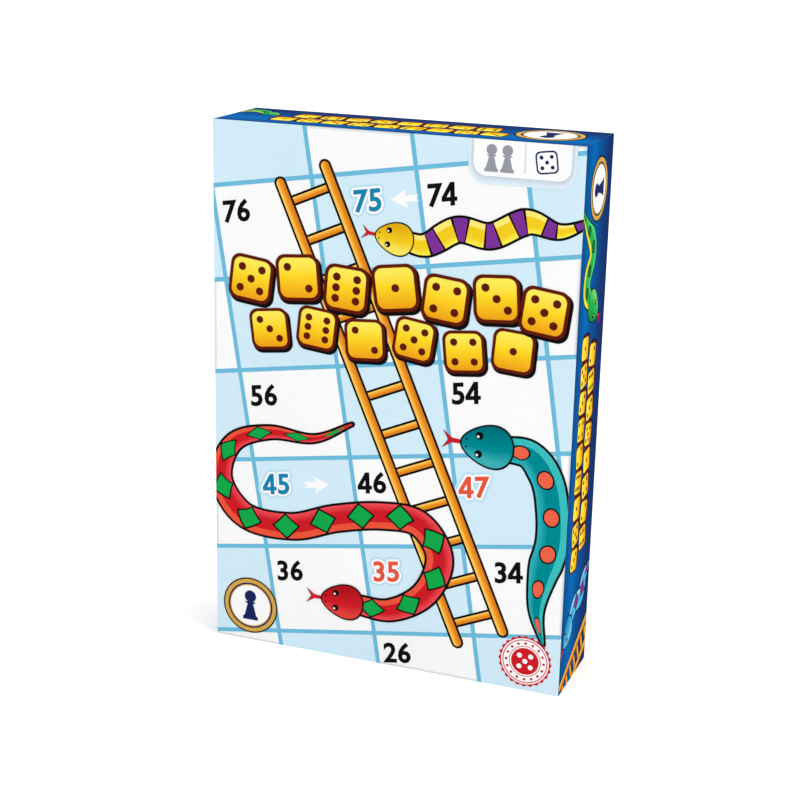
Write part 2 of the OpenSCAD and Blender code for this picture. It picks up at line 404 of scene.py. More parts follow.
def tile(w, h, r):
    """Rounded rectangle about its middle."""
    steps = 6
    points = []
    for k, (sx, sy) in enumerate(((1, 1), (-1, 1), (-1, -1), (1, -1))):
        for i in range(steps + 1):
            a = math.pi / 2 * (k + i / steps)
            x, y = sx * (w / 2 - r) + r * math.cos(a), sy * (h / 2 - r) + r * math.sin(a)
            points.append((x, y, x, 2 * y / h))
    return points


def smooth(controls):
    """Points of a Catmull-Rom curve through the controls."""
    steps = 14
    ends = [2 * Vector(controls[0]) - Vector(controls[1]), *map(Vector, controls),
            2 * Vector(controls[-1]) - Vector(controls[-2])]
    points = []
    for a, b, c, d in zip(ends, ends[1:], ends[2:], ends[3:]):
        for i in range(steps):
            t = i / steps
            points.append(0.5 * (2 * b + (c - a) * t + (2 * a - 5 * b + 4 * c - d) * t * t
                                 + (3 * b - a - 3 * c + d) * t ** 3))
    return points + [ends[-2]]


# Numbers
SLANT = 0.1
# Rings of a halo: ink, reach as a share of the number's size, and layers below the number
HALO = (("glow_2", 0.17, 1.8), ("glow_1", 0.125, 1.2), ("white", 0.075, 0.6))
HALO_COPIES, HALO_COPY_UP = 12, 0.04


def figure_four(size):
    """A bold 4, about its middle, as faces that don't overlap."""
    low, high, left, right, end, tip = 0.14, 0.275, 0.01, 0.16, 0.245, 0.745
    start, inner, notch, half_height = -0.285, -0.115, 0.48, 0.33
    faces = [[(left, 0), (right, 0), (right, tip), (left, tip)],
             [(start, low), (left, low), (left, high), (start, high)],
             [(right, low), (end, low), (end, high), (right, high)],
             [(start, high), (inner, high), (left, notch), (left, tip)]]
    return [[((x + SLANT * y) * size, (y - half_height) * size) for x, y in face] for face in faces]


@functools.cache
def figure(text, size):
    """Faces of one bold figure, about its middle."""
    if text == "4":
        return figure_four(size)
    bold_share = 0.028
    curve = bpy.data.curves.new("figures", "FONT")
    curve.body = text
    curve.size = size
    curve.offset = bold_share * size
    curve.shear = SLANT
    curve.resolution_u = 3
    curve.align_x = "CENTER"
    curve.align_y = "CENTER"
    holder = bpy.data.objects.new("figures", curve)
    mesh = bpy.data.meshes.new_from_object(holder)
    faces = [[tuple(mesh.vertices[i].co[:2]) for i in f.vertices] for f in mesh.polygons]
    bpy.data.objects.remove(holder)
    bpy.data.curves.remove(curve)
    bpy.data.meshes.remove(mesh)
    return faces


def number(page, value, place, size, angle, ink, layer, halo=False):
    """A bold number. Its halo is rings of copies, each a little higher than the last."""
    text = str(value)
    pitch_share = 0.525
    faces = []
    for i, character in enumerate(text):
        shift = (i - (len(text) - 1) / 2) * pitch_share * size
        faces += [[(x + shift, y) for x, y in face] for face in figure(character, size)]
    for halo_ink, reach, under in HALO if halo else ():
        for k, a in enumerate(angles(HALO_COPIES)):
            for face in faces:
                page.fill(halo_ink, turned(face, polar(place, size * reach, a), angle),
                          layer - under + HALO_COPY_UP * k)
    for face in faces:
        page.fill(ink, turned(face, place, angle), layer)


# Snakes
BAND_EDGES = (-1, -0.5, 0, 0.5, 1)
TAIL_UP, SKIN_UP, HEAD_UP = -0.2, 0.5, 1
# The head is drawn for a snake of this width, with x along it from the neck
HEAD_FOR_WIDTH = 13
TONGUE = ((15.5, 0.7), (21, 0.9), (25, 3.6), (22.6, 0), (25, -3.6), (21, -0.9), (15.5, -0.7))
# Eye, glint and nostril of a side: ink, radius, corners, place, shift and layer
HEAD_MARKS = (("black", 1.7, 20, 9.5, 4.0, 0, 1.2), ("white", 0.55, 12, 10.1, 4.0, 0.5, 1.5),
              ("black", 0.5, 12, 15.0, 1.7, 0, 1.2))


def girth(share):
    """Share of its full width that a snake has at a share of its length."""
    tail, growth, neck_start, neck_loss = 0.06, 2.6, 0.8, 0.28
    neck = max(0, share - neck_start) / (1 - neck_start)
    return min(1.0, tail + growth * share) * (1 - neck_loss * neck)


def snake(page, skin, run, width, layer, climb=0.0, outline=0.35, head=1.0):
    """A snake from tail to head. It climbs with each millimetre, so that it can cross itself."""
    points = smooth(run)
    lengths = [0.0]
    for a, b in zip(points, points[1:]):
        lengths.append(lengths[-1] + (b - a).length)
    total = lengths[-1]
    rows = []
    for i, (point, along) in enumerate(zip(points, lengths)):
        ahead = points[min(i + 1, len(points) - 1)] - points[max(i - 1, 0)]
        side = Vector((-ahead.y, ahead.x)).normalized()
        rows.append((point, side, width / 2 * girth(along / total), along))

    def spot(row, across, beyond=0.0):
        point, side, half, along = row
        corner = point + side * (half + beyond) * across
        return corner.x, corner.y, along, across, climb * along

    tail, _, tail_half, _ = rows[0]
    page.fill("black", turned(disc(tail_half + outline, corners=20), tail), layer + TAIL_UP)
    for near, far in zip(rows, rows[1:]):
        border = [spot(row, side, outline) for row, side in ((near, 1), (near, -1), (far, -1), (far, 1))]
        page.fill("black", [(x, y, 0, 0, rise) for x, y, _, _, rise in border], layer)
        for low, high in zip(BAND_EDGES, BAND_EDGES[1:]):
            band = (spot(near, low), spot(far, low), spot(far, high), spot(near, high))
            page.fill(skin, band, layer + SKIN_UP)
    ahead = points[-1] - points[-2]
    angle = math.atan2(ahead.y, ahead.x)
    snake_head(page, skin, points[-1], angle, head * width / HEAD_FOR_WIDTH, layer + HEAD_UP, climb * total)


def snake_head(page, skin, place, angle, scale, layer, rise):
    """Plain head seen from above, with its long axis along the body."""
    middle, half_length, half_width, taper, shade, line = 6, 11, 8.6, 0.28, 1.2, 0.8

    def draw(ink, points, up):
        page.fill(ink, turned(points, place, angle, scale), layer + up, rise)

    def outline(extra):
        return [(middle + (half_length + extra) * math.cos(a),
                 (half_width + extra) * math.sin(a) * (1 - taper * math.cos(a)), 0.0, shade * math.sin(a))
                for a in angles(40)]

    draw("black", turned(TONGUE, (-2.4, 0), scale=1.12), 0)
    draw("red", TONGUE, 0.4)
    draw("black", outline(line), 0.5)
    draw(skin + "_head", outline(0), 0.8)
    for side in (-1, 1):
        for ink, r, corners, ahead, aside, shift, up in HEAD_MARKS:
            draw(ink, turned(disc(r, corners), (ahead, side * aside + shift)), up)


# Ladders
def bar_mark(page, a, b, half, outline, layer):
    """A shaded bar with round ends and a dark outline."""
    end_steps, fill_up = 8, 0.4
    angle = math.atan2(b.y - a.y, b.x - a.x)
    reach = (b - a).length / 2
    for ink, h, up in (("black", half + outline, 0), ("orange_shaded", half, fill_up)):
        points = []
        for end, start in ((1, -math.pi / 2), (-1, math.pi / 2)):
            for i in range(end_steps + 1):
                turn = start + math.pi * i / end_steps
                points.append((end * reach + h * math.cos(turn), h * math.sin(turn), 0.0, math.sin(turn)))
        page.fill(ink, turned(points, (a + b) / 2, angle), layer + up)


def ladder(page, foot, top, width, rungs, layer, bar, outline=0.35):
    """Rungs at even steps, and two rails over their ends."""
    rung_share, rail_up = 0.36, 1
    foot, top = Vector(foot), Vector(top)
    length = (top - foot).length
    along = (top - foot).normalized()
    aside = Vector((along.y, -along.x)) * width / 2
    for i in range(rungs):
        middle = foot + along * length * (i + 0.5) / rungs
        bar_mark(page, middle - aside, middle + aside, bar * rung_share, outline, layer)
    for rail in (-aside, aside):
        bar_mark(page, foot + rail, top + rail, bar / 2, outline, layer + rail_up)


# Dice, pawns and arrows, with shares of the size of a die and of the height of a pawn
PIP_PLACES = {1: [(0, 0)], 2: [(-1, 1), (1, -1)], 3: [(-1, 1), (0, 0), (1, -1)],
              4: [(-1, -1), (-1, 1), (1, -1), (1, 1)], 5: [(-1, -1), (-1, 1), (0, 0), (1, -1), (1, 1)],
              6: [(-1, -1), (-1, 0), (-1, 1), (1, -1), (1, 0), (1, 1)]}
# Shadow, rim and face of a die: width, corner radius, shift to the right and up, and layer
DIE_SHARES = ((1.13, 0.26, 0.05, -0.06, 0), (1.09, 0.24, 0, 0, 0.4), (0.93, 0.18, 0, 0, 0.8))
# Inks of shadow, rim, face and pips
GOLDEN_DIE = ("black", "maroon", "yellow_shaded", "maroon")
WHITE_DIE = (None, "navy", "white", "navy")
RAISED_WHITE_DIE = ("black", "navy", "white", "navy")
PAWN_SHARES = ((-0.26, 0), (0.26, 0), (0.26, 0.1), (0.2, 0.15), (0.1, 0.55), (0.17, 0.57), (0.17, 0.62),
               (-0.17, 0.62), (-0.17, 0.57), (-0.1, 0.55), (-0.2, 0.15), (-0.26, 0.1))
ARROW = ((-7, 1.5), (0, 1.5), (-1.5, 4.6), (7, 0), (-1.5, -4.6), (0, -1.5), (-7, -1.5), (-5.4, 0))


def die_mark(page, place, size, degrees, pips, layer, inks=GOLDEN_DIE):
    """A die seen from one side. A shadow of None is left out."""
    pip_reach_share, pip_share, pip_up = 0.25, 0.095, 1.2
    angle = math.radians(degrees)
    for ink, (width, corner, right, above, up) in zip(inks, DIE_SHARES):
        if ink:
            shape = tile(size * width, size * width, size * corner)
            page.fill(ink, turned(shape, shifted(place, size * right, size * above), angle), layer + up)
    for middle in turned(PIP_PLACES[pips], place, angle, size * pip_reach_share):
        page.fill(inks[-1], turned(disc(size * pip_share, corners=18), middle), layer + pip_up)


def pawn_mark(page, place, height, ink, layer):
    """Side view of a pawn."""
    head_share, head_middle_share, head_up = 0.2, 0.8, 0.1
    page.fill(ink, turned(PAWN_SHARES, place, scale=height), layer)
    head = shifted(place, 0, head_middle_share * height)
    page.fill(ink, turned(disc(head_share * height, corners=24), head), layer + head_up)


def arrow(page, place, angle, ink, layer):
    page.fill(ink, turned(ARROW, place, angle), layer)


def squares(page, place, angle, size, count, line, layer):
    """Chequered squares with lines between them. Returns a function that places points in them."""
    (w, h), (columns, rows) = size, count
    right = Vector((math.cos(angle), math.sin(angle)))
    up = Vector((-right.y, right.x))
    upright_up, level_up = 0.3, 0.6

    def at(i, j):
        return Vector(place) + right * w * i + up * h * j

    def draw_line(a, b, side, above):
        aside = side * line / 2
        page.fill("line_blue", (a - aside, a + aside, b + aside, b - aside), layer + above)

    for i in range(columns):
        for j in range(rows):
            if (i + j) % 2:
                page.fill("pale_blue", (at(i, j), at(i + 1, j), at(i + 1, j + 1), at(i, j + 1)), layer)
    for i in range(columns + 1):
        draw_line(at(i, 0), at(i, rows), right, upright_up)
    for j in range(rows + 1):
        draw_line(at(0, j), at(columns, j), up, level_up)
    return at


def square_value(column, row, columns):
    """Number of a square, counted from side to side and back."""
    return columns * row + (column + 1 if row % 2 == 0 else columns - column)


# Marks of the lid
MARK_LAYER, MARK_STEP = 10, 0.4
# Inks of the rings, and their shares of the radius
ROUNDEL_SHARES = (("black", 1.05), ("gold", 1.0), ("navy", 0.86), ("gold", 0.80), ("white", 0.76))
SEAL_SHARES = (("white", 0.93), ("red", 0.88), ("white", 0.84), ("red", 0.62), ("white", 0.59), ("red", 0.54))
# Inks of the tab and its shadow, and how far they reach past the tab
TAB_RINGS = (("shade_1", 2.4), ("shade_2", 1.7), ("shade_3", 1.0), ("shade_4", 0.4), ("white", 0))


def rings(page, place, r, shares, layer):
    for k, (ink, share) in enumerate(shares):
        page.fill(ink, turned(disc(r * share, corners=48), place), layer + MARK_STEP * k)


def roundel(page, place, r):
    pawn_share, foot_share = 1.12, 0.55
    rings(page, place, r, ROUNDEL_SHARES, MARK_LAYER)
    pawn_layer = MARK_LAYER + MARK_STEP * (len(ROUNDEL_SHARES) + 1)
    pawn_mark(page, shifted(place, 0, -foot_share * r), pawn_share * r, "navy", pawn_layer)


def seal(page, place, r):
    """Scalloped seal with rings, dots and five pips."""
    scallops, scallop_share, dots = 24, 0.035, 16
    dot_share, dot_reach_share, pip_share, pip_reach_share = 0.055, 0.73, 0.1, 0.22
    edge = [polar(place, r * (1 + scallop_share * math.cos(scallops * a)), a) for a in angles(10 * scallops)]
    page.fill("red", edge, MARK_LAYER)
    rings(page, place, r, SEAL_SHARES, MARK_LAYER + MARK_STEP)
    dot_layer = MARK_LAYER + MARK_STEP * len(SEAL_SHARES)
    for a in angles(dots):
        dot = disc(r * dot_share, corners=12)
        page.fill("red", turned(dot, polar(place, r * dot_reach_share, a)), dot_layer)
    for middle in turned(PIP_PLACES[5], place, scale=r * pip_reach_share):
        page.fill("white", turned(disc(r * pip_share, corners=16), middle), dot_layer + MARK_STEP)


def tab(page, place, size):
    """White tab with a soft shadow, two pawns, a line and a die."""
    (w, h, corner), drop = size, 0.5
    for k, (ink, extra) in enumerate(TAB_RINGS):
        shape = tile(w + 2 * extra, h + 2 * extra, corner + extra)
        page.fill(ink, turned(shape, shifted(place, 0, -drop * extra)), MARK_LAYER + MARK_STEP * k)
    for x in (-14.5, -7):
        pawn_mark(page, shifted(place, x, -10), 12.5, "grey", layer=12)
    line = ((1.2, -9.5), (1.7, -9.5), (1.7, 4.5), (1.2, 4.5))
    page.fill("shade_4", turned(line, place), layer=12)
    die_mark(page, shifted(place, 11.5, -3.9), size=9.5, degrees=8, pips=5, layer=12, inks=WHITE_DIE)


# Cover, with places from the middle of its lower edge
COVER_TILT = math.radians(9)
# Column, row and ink of each number, and how far it is moved, in shares of a square
COVER_NUMBERS = (
    (2, 0, "black", 0, 0.06), (1, 1, "black", 0, 0), (2, 1, "accent_red", 0, 0), (3, 1, "black", 0.2, 0),
    (1, 2, "blue", 0, 0), (2, 2, "black", -0.02, 0), (3, 2, "accent_red", -0.03, -0.06),
    (1, 3, "black", 0, 0), (3, 3, "black", 0, -0.05), (1, 5, "black", 0, 0), (2, 5, "blue", 0.3, 0),
    (3, 5, "black", 0, 0),
)
# Skin, width, climb and run of each snake
COVER_SNAKES = (
    ("red_snake", 13, 0.0006,
     ((-18, 124), (-38, 114), (-62, 114), (-82, 106), (-89, 86), (-76, 68), (-50, 66), (-26, 74), (-2, 79),
      (18, 78), (29, 62), (22, 42), (4, 30), (-16, 30))),
    ("teal_snake", 15, 0.0004,
     ((83, 26), (79, 43), (81, 61), (85, 78), (84.5, 95), (81, 110), (72, 121), (58, 122))),
    ("yellow_snake", 11, 0.0004,
     ((98, 235), (82, 228), (66, 231), (49, 223), (33, 224.5), (18, 216), (7, 217))),
)
# Size and layer of each row of dice, then place, turn and pips of each die
COVER_DICE = (
    (19, 10, ((-62, 167, 7, 3), (-37, 170, -6, 6), (-12, 167, 4, 2), (13, 170, -8, 5), (38, 167, 6, 4),
              (62, 170, -4, 1))),
    (21, 12, ((-72, 191, -7, 5), (-47, 194, 5, 2), (-22, 191, -4, 6), (3, 194, 8, 1), (28, 191, -6, 4),
              (53, 194, 4, 3), (76, 190, -7, 5))),
)


def cover(page):
    first_column, first_row, number_right, number_up = 3, 2, 0.2, 0.7
    at = squares(page, (-102, -46), COVER_TILT, size=(53, 46), count=(5, 8), line=2.2, layer=1)
    for column, row, ink, right, up in COVER_NUMBERS:
        value = square_value(column + first_column, row + first_row, BOARD_SIDE)
        place = at(column + number_right + right, row + number_up + up)
        number(page, value, place, 14.5, COVER_TILT, ink, layer=3.2, halo=ink != "black")
    arrow(page, at(1.62, 2.70), COVER_TILT, "white", layer=2)
    arrow(page, at(2.86, 5.70), COVER_TILT + math.pi, "white", layer=2)
    ladder(page, (51, 24), (-45, 244), width=25, rungs=12, layer=4, bar=4.2, outline=1.1)
    for skin, width, climb, run in COVER_SNAKES:
        snake(page, skin, run, width, layer=6, climb=climb, outline=1.2)
    for size, layer, dice in COVER_DICE:
        for x, y, degrees, pips in dice:
            die_mark(page, (x, y), size, degrees, pips, layer)
    tab(page, place=(62.5, 262.5), size=(46, 24, 6))
    roundel(page, (-73, 19), r=14.5)
    seal(page, (74.5, 15.5), r=13)


# Sides of the lid, with places from the middle of each
SIDE_CLIMB, SIDE_DIE, SIDE_PITCH, SIDE_DICE = 0.0006, 11.6, 13.2, 9
# Each line of dice: set in, height, fewer dice, layer, turns in degrees and pips
SIDE_LINES = ((0, 8.6, 0, 8, (-7, 6, -4), (3, 5, 1, 6, 2, 4)),
              (7, -5.6, 1, 6, (5, -8, 7), (6, 2, 4, 1, 5, 3)))


def dice_lines(page, left):
    """Two lines of dice, the lower one shorter and set in."""
    for set_in, height, fewer, layer, turns, pips in SIDE_LINES:
        for k in range(SIDE_DICE - fewer):
            place = (left + set_in + SIDE_PITCH * k, height)
            die_mark(page, place, SIDE_DIE, turns[k % len(turns)], pips[k % len(pips)], layer)


def long_side(page):
    roundel(page, (111, -1), r=14.5)
    green_run = ((105, 26), (96, 16), (88, 6), (80, 4), (72, 11), (64, 11), (58, 2))
    snake(page, "green_snake", green_run, width=11, layer=3, climb=SIDE_CLIMB, outline=0.8)
    dice_lines(page, left=-68)
    blue_run = ((-80, -25), (-85, -14), (-93, -9), (-94, 2), (-101, 10))
    snake(page, "blue_snake", blue_run, width=10, layer=3, climb=SIDE_CLIMB, outline=0.8)
    ladder(page, (-136, 19), (-114, -31), width=13, rungs=8, layer=3, bar=3.8, outline=0.8)


def short_side(page):
    roundel(page, (-68, -1), r=16)
    dice_lines(page, left=-44)
    run = ((104, 2), (97, -5), (90, -12), (83, -12), (77, -7))
    snake(page, "green_snake", run, width=7, layer=3, climb=SIDE_CLIMB, outline=0.5, head=0.9)


def box_back(page):
    """Back of the tray: a small board under pawns and a die, about its middle."""
    side, number_right, number_up = 8, 0.3, 0.74
    page.fill("ground_white", tile(150, 172, 7), layer=1)
    at = squares(page, (-64, -66), 0, size=(16, 16), count=(side, side), line=0.7, layer=2)
    for row in range(side):
        for column in range(side):
            place = at(column + number_right, row + number_up)
            number(page, square_value(column, row, side), place, 5.2, 0, "black", layer=3.4)
    for foot, top, rungs in (((-40, -56), (-24, 4), 8), ((40, 2), (22, 52), 7)):
        ladder(page, foot, top, width=7, rungs=rungs, layer=5, bar=1.6)
    for skin, run in (("red_snake", ((48, -58), (36, -46), (46, -32), (34, -20), (22, -8))),
                      ("teal_snake", ((-58, 6), (-44, 16), (-54, 30), (-40, 40), (-30, 50)))):
        snake(page, skin, run, width=5, layer=7)
    for x, ink in zip((-54, -30, -6, 18), ("red", "royal", "green", "yellow")):
        pawn_mark(page, (x, 66), 16, "navy", layer=4)
        pawn_mark(page, (x, 66.8), 14.4, ink, layer=4.6)
    die_mark(page, (52, 73.5), size=13, degrees=-12, pips=5, layer=5, inks=RAISED_WHITE_DIE)


# Playing board, with places from the middle of the open board
BOARD_SIDE, BOARD_MARGIN = 10, 7
BOARD_LADDERS = ((4, 14), (9, 31), (21, 42), (28, 66), (51, 67), (63, 81), (71, 91))
BOARD_SNAKES = ((98, 79, "red_snake"), (95, 56, "teal_snake"), (87, 24, "yellow_snake"),
                (64, 36, "blue_snake"), (48, 26, "green_snake"), (17, 7, "red_snake"))


def winding(tail, head):
    """A run from tail to head with even bends."""
    pitch, reach, least = 26, 7, 3
    axis = head - tail
    side = Vector((-axis.y, axis.x)).normalized() * reach
    bends = max(least, round(axis.length / pitch))
    bent = [tail + axis * k / (bends + 1) + side * (1 if k % 2 else -1) for k in range(1, bends + 1)]
    return [tail, *bent, head]


def board(page):
    """Both leaves share this drawing, each cut at its own limits."""
    ground_border, number_right, number_up, rung_pitch = 1.5, -0.27, 0.22, 9
    w, h = 2 * (BOARD_HALF - BOARD_MARGIN), extent(FACE_Z) - 2 * BOARD_MARGIN
    page.fill("ground_white", tile(w + 2 * ground_border, h + 2 * ground_border, 2), layer=1)
    cell = (w / BOARD_SIDE, h / BOARD_SIDE)
    at = squares(page, (-w / 2, -h / 2), 0, cell, (BOARD_SIDE, BOARD_SIDE), line=0.9, layer=2)
    middles = {square_value(column, row, BOARD_SIDE): at(column + 0.5, row + 0.5)
               for row in range(BOARD_SIDE) for column in range(BOARD_SIDE)}
    for value, middle in sorted(middles.items()):
        place = shifted(middle, cell[0] * number_right, cell[1] * number_up)
        number(page, value, place, 7.4, 0, "black", layer=4)
    for low, high in BOARD_LADDERS:
        foot, top = middles[low], middles[high]
        rungs = max(3, round((top - foot).length / rung_pitch))
        ladder(page, foot, top, width=9, rungs=rungs, layer=5, bar=2.0)
    for high, low, skin in BOARD_SNAKES:
        snake(page, skin, winding(middles[low], middles[high]), width=5.4, layer=7.5, head=0.95)


# Rules sheet, with places from its middle
MOVE_LAYER = 4


def step_picture(page, at):
    """A die and a pawn that goes on two squares."""
    for x, ink in ((0.5, "navy"), (2.5, "grey")):
        pawn_mark(page, at(x, 0.15), 10, ink, MOVE_LAYER)
    arrow(page, at(1.5, 0.5), 0, "red", MOVE_LAYER)
    die_mark(page, at(3, 3), 15, math.degrees(0.1), 2, MOVE_LAYER, inks=WHITE_DIE)


def climb_picture(page, at):
    """A pawn at the foot and at the top of a ladder."""
    ladder(page, at(1.5, 0.4), at(2.5, 3.4), width=5, rungs=7, layer=MOVE_LAYER, bar=1.4, outline=0.3)
    for place in (at(0.5, 0.15), at(3.5, 3)):
        pawn_mark(page, place, 10, "green", MOVE_LAYER)


def fall_picture(page, at):
    """A pawn at the head and at the tail of a snake."""
    run = (at(1.2, 0.5), at(2, 1.4), at(1.5, 2.4), at(2.6, 3.2))
    snake(page, "red_snake", run, width=3.6, layer=MOVE_LAYER, climb=0.0004, outline=0.3)
    for place in (at(3.4, 3), at(0.5, 0.15)):
        pawn_mark(page, place, 10, "blue", MOVE_LAYER)


def ruled_lines(page, left, right, top):
    """Thick lines that stand for text, the last of them shorter."""
    count, pitch, thick, short = 6, 8.6, 1.6, 14
    for i in range(count):
        end = right - (short if i == count - 1 else 0)
        low = top - pitch * i
        page.fill("grey", ((left, low), (end, low), (end, low + thick), (left, low + thick)), layer=2)


def rules(page):
    """Rules told in pictures: a heading of dice, then three numbered moves."""
    page.fill("royal", turned(tile(132, 18, 5), (0, 91)), layer=1)
    for pips, (x, degrees) in enumerate(((-44, -8), (-22, 6), (0, -5), (22, 7), (44, -6)), start=1):
        die_mark(page, (x, 91.4), 11, degrees, pips, layer=2)
    moves = ((52, step_picture), (-8, climb_picture), (-68, fall_picture))
    for count, (y, picture) in enumerate(moves, start=1):
        page.fill("navy", turned(disc(5, corners=32), (-64, y + 24)), layer=1)
        number(page, count, (-64, y + 24), 8, 0, "white", layer=2)
        page.fill("pale_blue", turned(tile(66, 54, 3), (-25, y)), layer=1)
        page.fill("white", turned(tile(62, 50, 2), (-25, y)), layer=1.5)
        picture(page, squares(page, (-49, y - 24), 0, size=(12, 12), count=(4, 4), line=0.4, layer=2))
        ruled_lines(page, left=16, right=66, top=y + 22)


# Faces that carry print, and how far each of their layers is lifted, in millimetres
BOX_LIFT, THIN_LIFT = 0.016, 0.007
X, Y, Z = Vector((1, 0, 0)), Vector((0, 1, 0)), Vector((0, 0, 1))


def about_middle(w, h):
    return (-w / 2, w / 2, -h / 2, h / 2)


def print_pages():
    make_inks()
    long_limits, short_limits = about_middle(BOX_H, BOX_D), about_middle(BOX_W, BOX_D)
    _, _, *leaf_limits = about_middle(0, extent(FACE_Z))
    board_x, board_z = FACE_X[0] - BOARD_GAP / 2, centre(FACE_Z)
    lid = ("lid", "lid_print")
    faces = (
        ("cover", *lid, (0, FRONT_Y, 0), X, Z, (LEFT_X, RIGHT_X, *BOX_Z), BOX_LIFT, cover),
        ("right_side", *lid, (RIGHT_X, 0, BOX_H / 2), Z, -Y, long_limits, BOX_LIFT, long_side),
        ("left_side", *lid, (LEFT_X, 0, BOX_H / 2), -Z, -Y, long_limits, BOX_LIFT, long_side),
        ("top_side", *lid, (0, 0, BOX_H), -X, -Y, short_limits, BOX_LIFT, short_side),
        ("bottom_side", *lid, (0, 0, 0), X, -Y, short_limits, BOX_LIFT, short_side),
        ("box_back", "tray", "tray_paper", (0, BACK_Y, BOX_H / 2), -X, Z,
         about_middle(extent(TRAY_X), extent(TRAY_Z)), BOX_LIFT, box_back),
        ("right_board", "right_leaf", "right_board_print", (board_x, RIGHT_FACE_Y, board_z), X, Z,
         (BOARD_GAP / 2, BOARD_HALF, *leaf_limits), THIN_LIFT, board),
        ("left_board", "left_leaf", "left_board_print", (board_x, LEFT_FACE_Y, board_z), -X, Z,
         (-BOARD_HALF, -BOARD_GAP / 2, *leaf_limits), THIN_LIFT, board),
        ("rules", "rules", "rules_paper", (0, RULES_Y, centre(RULES_Z)), X, Z,
         about_middle(extent(RULES_X), extent(RULES_Z)), THIN_LIFT, rules),
    )
    for *face, draw in faces:
        page = Page(*face)
        draw(page)
        page.build()


# Materials of the solids. Blue of the lid's sides, by share of the depth. The dark first stop, at the front
# fold, is painted edge shade
SIDE_BLUES = ((0.0, (10, 60, 120)), (0.08, (0, 82, 150)), (0.28, (0, 104, 178)), (0.55, (0, 76, 144)),
              (0.8, (14, 52, 110)), (1.0, (20, 40, 96)))


def from_middle_height(s, z):
    return s.minus(z, BOX_H / 2 * MM)


def edge_distances(s):
    """How far inside its nearest long side, its nearest end and its front a point lies."""
    x, y, z = s.axes(s.place())
    from_side = s.minus(BOX_W / 2 * MM, s.math("ABSOLUTE", x))
    from_end = s.minus(BOX_H / 2 * MM, s.math("ABSOLUTE", from_middle_height(s, z)))
    return from_side, from_end, s.minus(y, FRONT_Y * MM)


def worn(s, colour):
    """Lets paper show faintly in small scuffs along the edges."""
    side, end, front = edge_distances(s)
    edges = [s.math("MAXIMUM", a, b) for a, b in ((side, end), (side, front), (end, front))]
    nearest = s.math("MINIMUM", s.math("MINIMUM", edges[0], edges[1]), edges[2])
    reach = s.times(s.step(s.noise(220, detail=4, rough=0.7), 0.5, 0.75), 0.5 * MM)
    scuffed = s.math("LESS_THAN", nearest, reach)
    return s.mix(s.times(scuffed, 0.3), colour, (226, 230, 234))


def lid_print():
    """White front greyed near its edges as painted edge shade, and azure sides that darken towards the back,
    with a painted edge shade at their front fold.
    """
    s = Shader("lid_print_paper")
    side, end, _ = edge_distances(s)
    # Painted edge shade: the white front turns grey within 1.6 mm of its edges
    painted_edge_shade = s.minus(1, s.step(s.math("MINIMUM", side, end), 0, 1.6 * MM))
    paper = s.mix(s.times(painted_edge_shade, 0.8), WHITE, (196, 206, 216))
    _, y, _ = s.axes(s.place())
    # The sides' blue, whose dark first stop at the front fold is painted edge shade
    blue = s.ramp(s.step(y, FRONT_Y * MM, BACK_Y * MM), SIDE_BLUES)
    front = s.math("LESS_THAN", y, (FRONT_Y + 0.05) * MM)
    return coated(s, worn(s, s.mix(front, blue, paper)), 0.7 * MM)


def tray_paper():
    """Blue that darkens away from the middle."""
    s = Shader("tray_print_paper")
    x, _, z = s.axes(s.place())
    out = s.plus(s.math("POWER", s.times(x, 9), 2), s.math("POWER", s.times(from_middle_height(s, z), 7), 2))
    blue = s.mix(s.step(out, 0, 1.5), (0, 104, 184), (26, 46, 112))
    return coated(s, blue, 0.6 * MM)


def board_print(name):
    """Royal blue, darker to the corners."""
    s = Shader(name)
    _, _, z = s.axes(s.place())
    tall = s.math("ABSOLUTE", from_middle_height(s, z))
    return coated(s, s.mix(s.step(tall, 0.02, 0.13), (0, 108, 186), (24, 60, 134)))


def clouded(s, light, dark, scale, detail, rough):
    """A colour that drifts between two, which are nearly alike."""
    return s.mix(s.step(s.noise(scale, rough, detail), 0.3, 0.7), light, dark)


def greyboard(name, light, dark, fibrous=True):
    """Recycled board with dark and light flecks, fibrous where it shows widely."""
    s = Shader(name)
    fleck = s.step(s.noise(1400, rough=0.8), 0.62, 0.72)
    pale = s.step(s.noise(1100, rough=0.8, stretch=(1, 1, 0.3)), 0.64, 0.74)
    colour = clouded(s, light, dark, scale=60, detail=5, rough=0.6)
    colour = s.mix(s.times(fleck, 0.5), colour, (84, 78, 72))
    colour = s.mix(s.times(pale, 0.5), colour, (196, 190, 180))
    if fibrous:
        s.set(normal=s.bump(s.noise(700, detail=6, rough=0.75), strength=0.35, distance=0.1 * MM))
    return s.set(colour=colour, rough=0.92, specular=0.2)


def stay_tape():
    """Kraft paper with faint stripes."""
    s = Shader("kraft_stay_tape")
    stripe = s.step(s.noise(900, detail=4, rough=0.7, stretch=(1, 0.1, 1)), 0.3, 0.7)
    colour = s.mix(stripe, (188, 150, 104), (166, 128, 84))
    return s.set(colour=colour, rough=0.8, specular=0.25)


def white_card():
    """White folding box card."""
    s = Shader("white_card")
    colour = clouded(s, (249, 248, 244), (241, 240, 235), scale=40, detail=4, rough=0.6)
    fibre = s.noise(800, detail=5, rough=0.7)
    normal = s.bump(fibre, strength=0.25, distance=0.05 * MM, normal=s.rounded(0.5 * MM))
    rough = s.uneven(s.noise(90, rough=0.6), least=0.5, spread=0.2)
    return s.set(colour=colour, rough=rough, normal=normal, specular=0.35)


def linen_paper():
    """Navy paper embossed with a linen grain."""
    s = Shader("linen_back_paper")
    x, _, z = s.axes(s.place())
    wave = 2 * math.pi / (0.9 * MM)
    linen = s.times(s.math("SINE", s.times(x, wave)), s.math("SINE", s.times(z, wave)))
    grain = s.plus(linen, s.noise(900, rough=0.7))
    normal = s.bump(grain, strength=0.3, distance=0.06 * MM, normal=s.rounded(0.3 * MM))
    colour = clouded(s, (22, 36, 92), (16, 28, 76), scale=500, detail=4, rough=0.7)
    return s.set(colour=colour, rough=0.55, normal=normal, specular=0.4)


